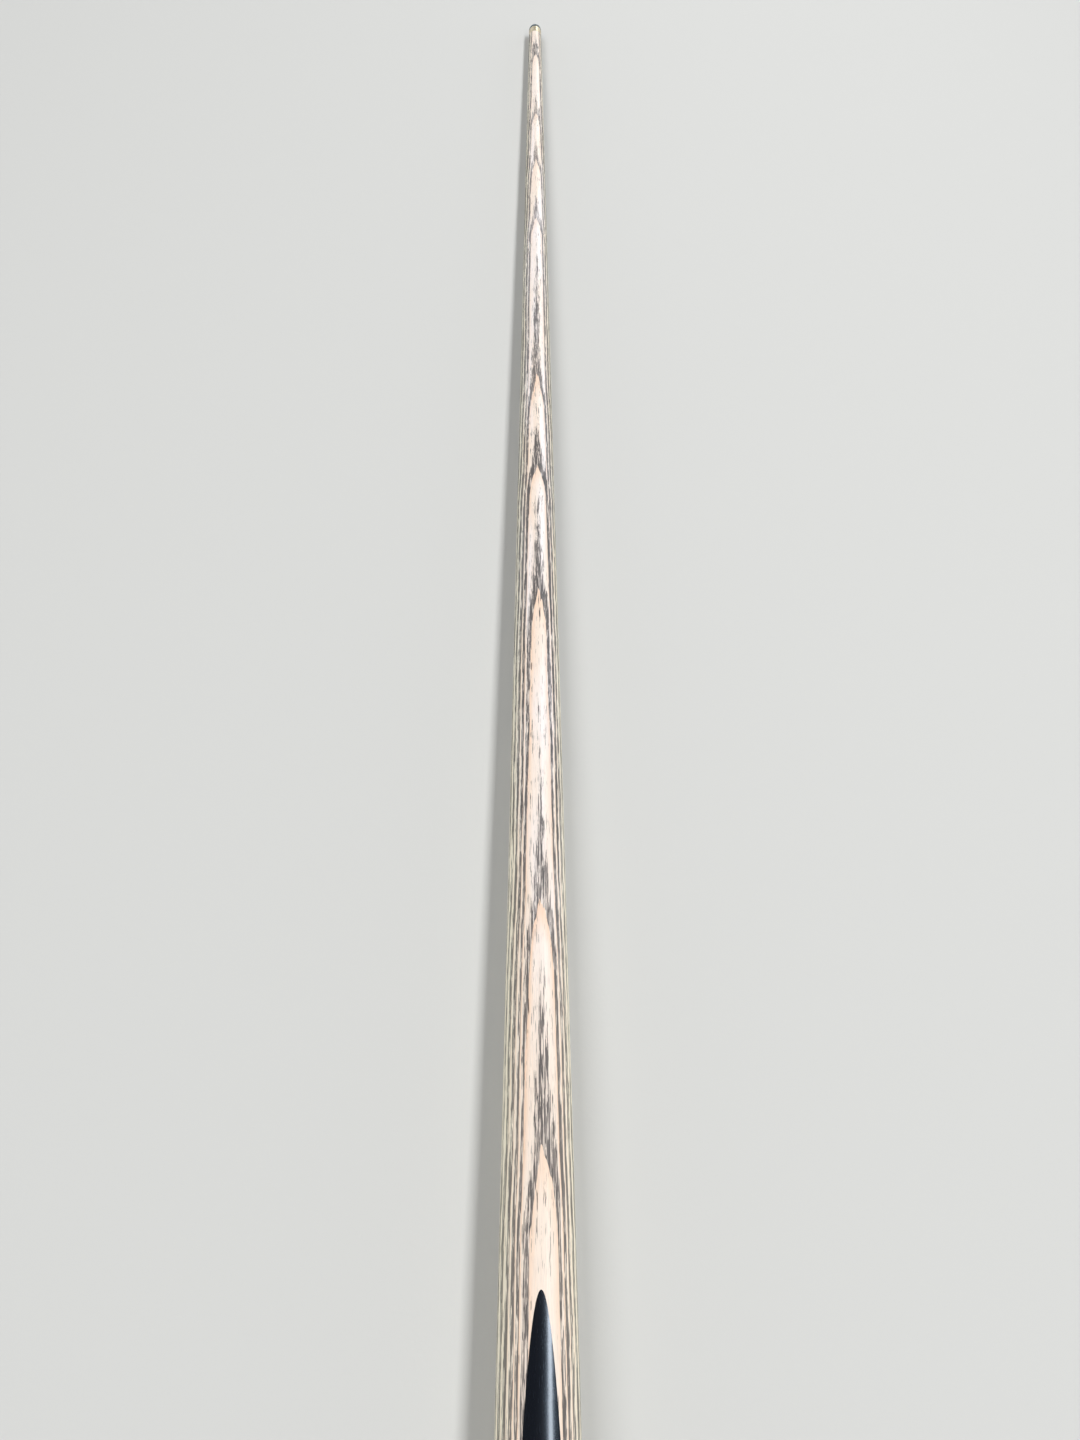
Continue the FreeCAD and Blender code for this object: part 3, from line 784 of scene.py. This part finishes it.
def makeShaftCollar():
    collar = shaftCollar
    face, bevel, ringEnd = collar["face"], collar["bevel"], collar["ringEnd"]
    rows = boreRows(collar["boreEnd"], face, collar["mouth"])
    rows += [plain(face, radiusAt(face) - bevel), plain(face + bevel, radiusAt(face + bevel)),
             plain(ringEnd, radiusAt(ringEnd)), plain(ringEnd, collar["stem"]),
             plain(collar["stemEnd"], collar["stem"]), plain(collar["stemEnd"], nearAxis)]
    placeBrass("shaftCollar", rows, "joint_sleeve", "shaft_joint_collar")


buttSocket = {
    "face": 1.0, "mouth": 0.6, "bevel": 0.25, "flange": 8.7, "flangeEnd": 2.5,
    "neck": 6.5, "neckEnd": 32.0, "boreEnd": 29.0,
}


def makeButtSocket():
    socket = buttSocket
    face, bevel, flange, neck = socket["face"], socket["bevel"], socket["flange"], socket["neck"]
    rows = boreRows(socket["boreEnd"], face, socket["mouth"])
    rows += [plain(face, flange - bevel), plain(face + bevel, flange),
             plain(socket["flangeEnd"], flange), plain(socket["flangeEnd"], neck),
             plain(socket["neckEnd"], neck), plain(socket["neckEnd"], nearAxis)]
    placeBrass("buttSocket", rows, "butt", "extension_socket")


makeJointScrew()
makeShaftCollar()
makeButtSocket()
print("joint made")


leatherTip = {
    "start": 1456.0, "end": 1460.0, "radius": 4.65, "dome": 9.0, "pressedIn": 0.12,
    "around": 96, "sideRows": 8, "domeRows": 16, "sharpAngle": 50,
    # the worn edge: waves round it, each with its number of humps, start and size
    "seed": 7, "waves": 9, "humps": (2, 19), "waveStart": (0, 6.28), "waveSize": (0.2, 1),
    "wornIn": 0.05, "wearShare": 0.35, "rowShift": 1.3,
}


def makeTip():
    tip = leatherTip
    start, end, radius, dome = tip["start"], tip["end"], tip["radius"], tip["dome"]
    rng = np.random.default_rng(tip["seed"])
    waves = [(rng.integers(*tip["humps"]), rng.uniform(*tip["waveStart"]), rng.uniform(*tip["waveSize"]))
             for _ in range(tip["waves"])]
    shoulder = end - (dome - math.sqrt(dome ** 2 - radius ** 2))
    profile = [(start, nearAxis), (start, radius - tip["pressedIn"])]
    profile += [(start + (shoulder - start) * k / tip["sideRows"], radius)
                for k in range(1, tip["sideRows"])]
    for k in range(tip["domeRows"] + 1):
        lean = math.asin(radius / dome) * (1 - k / tip["domeRows"])
        profile.append((end - dome * (1 - math.cos(lean)), max(nearAxis, dome * math.sin(lean))))
    rings = []
    for row, (y, full) in enumerate(profile):
        ring = []
        for k in range(tip["around"]):
            turn = 2 * math.pi * k / tip["around"]
            rough = sum(size * math.sin(humps * turn + begin + tip["rowShift"] * row)
                        for humps, begin, size in waves) / tip["waves"]
            reach = full * (1 - tip["wornIn"] * (0.5 + 0.5 * rough) * tip["wearShare"])
            ring.append((reach * math.sin(turn), reach * math.cos(turn)))
        rings.append((y, ring))
    piece = loftPiece("leatherTip", rings, tip["sharpAngle"])
    placePiece(piece, "shaft", "cue_tip", softs["tipLeather"])


makeTip()

# the pieces that keep their own shape
keptPieces = {
    "ash_core": ash, "tip_pad": softs["tipFibre"], "ferrule": metals["ferruleBrass"],
    "butt_joint_collar": metals["jointBrass"], "badge_plate": metals["badgeBrass"],
    "balance_weight": metals["weightMetal"], "butt_bumper": softs["bumperRubber"],
}
for name, material in keptPieces.items():
    nodes[name].data.materials.clear()
    nodes[name].data.materials.append(material)
print("tip and fittings made")


# places and sizes of the floor, the lights and the camera are in metres, and angles in degrees
floorLook = {
    "radius": 2.6, "around": 128, "tilt": 0.386, "gap": 0.0001,        # tilted as the taper needs
    "colour": (0.60, 0.60, 0.58), "darker": 0.93,
    "grain": (1.5, 1.5, 3.0, 1.0), "shadeCut": (0.2, 0.8), "shade": (0.96, 1.0),
    "sheenCut": (0.3, 0.7), "roughness": (0.75, 0.9), "relief": 0.03,
}

studio = {
    "panel": {"place": (0.77, 2.2, 1.40), "size": (0.31, 8.0), "power": 62.0,
              "colour": (0.985, 0.99, 1.0), "mirrored": True},
    # lights the left side without showing in the gloss
    "fill": {"place": (-0.85, 2.2, 1.4), "size": (0.8, 8.0), "power": 38.0,
             "colour": (1.0, 1.0, 1.0), "mirrored": False},
    # the sky is bright low down and dim overhead
    "sky": (0.93, 0.96, 1.0), "low": 1.15, "overhead": 0.07, "skyHeights": (0.1, 0.6),
    "backdrop": 0.74,         # what is seen past the floor's edge
}

# the camera looks along the cue and is swung a little about its axis
viewpoint = {
    "place": (0.00042, 0.520, 0.315), "tilt": 38.17, "heading": -0.214, "swing": -5.0,
    "lens": 26.25, "sensor": 36.0, "nearest": 0.01,
}


def makeFloor():
    look = floorLook
    rim = []
    for k in range(look["around"]):
        turn = 2 * math.pi * k / look["around"]
        rim.append((look["radius"] * math.cos(turn),
                    look["radius"] * math.sin(turn) + cueTaper["length"] * mm / 2, 0))
    mesh = bpy.data.meshes.new("floor")
    mesh.from_pydata(rim, [], [tuple(range(look["around"]))])
    floor = bpy.data.objects.new("floor", mesh)
    scene.collection.objects.link(floor)
    floor.location = (0, 0, -cueTaper["buttRadius"] * mm - look["gap"])
    floor.rotation_euler = (math.radians(look["tilt"]), 0, 0)
    material, tree, shader, place = newMaterial("paleFloor", **{"Specular IOR Level": 0.2})
    weave = stretchedNoise(tree, place, *look["grain"])
    shade = between(tree, weave, look["shadeCut"], *look["shade"])
    dark = tuple(look["darker"] * c for c in look["colour"])
    colour = blendColours(tree, shade, dark, look["colour"])
    roughness = between(tree, weave, look["sheenCut"], *look["roughness"])
    setLook(tree, shader, colour, roughness, weave, look["relief"])
    floor.data.materials.append(material)


def addPanel(name, panel):
    light = bpy.data.lights.new(name, "AREA")
    light.shape, light.size, light.size_y = "RECTANGLE", *panel["size"]
    light.energy, light.color = panel["power"], panel["colour"]
    obj = bpy.data.objects.new(name, light)
    scene.collection.objects.link(obj)
    obj.location = panel["place"]
    obj.rotation_euler = (0, math.atan2(panel["place"][0], panel["place"][2]), 0)
    obj.visible_glossy = panel["mirrored"]


def makeSky():
    world = bpy.data.worlds.new("studioSky")
    scene.world = world
    world.use_nodes = True
    sky = world.node_tree
    direction = addNode(sky, "ShaderNodeTexCoord").outputs["Generated"]
    upward = addNode(sky, "ShaderNodeSeparateXYZ", {0: direction}).outputs["Z"]
    glow = between(sky, upward, studio["skyHeights"], studio["low"], studio["overhead"])
    seen = addNode(sky, "ShaderNodeLightPath").outputs["Is Camera Ray"]
    glow = addNode(sky, "ShaderNodeMix", {0: seen, 2: glow, 3: studio["backdrop"]}).outputs[0]
    sky.nodes["Background"].inputs["Color"].default_value = (*studio["sky"], 1.0)
    sky.links.new(glow, sky.nodes["Background"].inputs["Strength"])


def makeCamera():
    camera = bpy.data.cameras.new("cueCamera")
    camera.lens, camera.sensor_width = viewpoint["lens"], viewpoint["sensor"]
    camera.clip_start = viewpoint["nearest"]
    obj = bpy.data.objects.new("cueCamera", camera)
    scene.collection.objects.link(obj)
    obj.matrix_world = (
        Matrix.Rotation(math.radians(viewpoint["swing"]), 4, "Y")
        @ Matrix.Translation(viewpoint["place"])
        @ Matrix.Rotation(math.radians(viewpoint["heading"]), 4, "Z")
        @ Matrix.Rotation(math.radians(viewpoint["tilt"]), 4, "X"))
    scene.camera = obj


makeFloor()
addPanel("longPanel", studio["panel"])
addPanel("leftFill", studio["fill"])
makeSky()
makeCamera()
scene.view_settings.view_transform = "Standard"
print("studio ready")
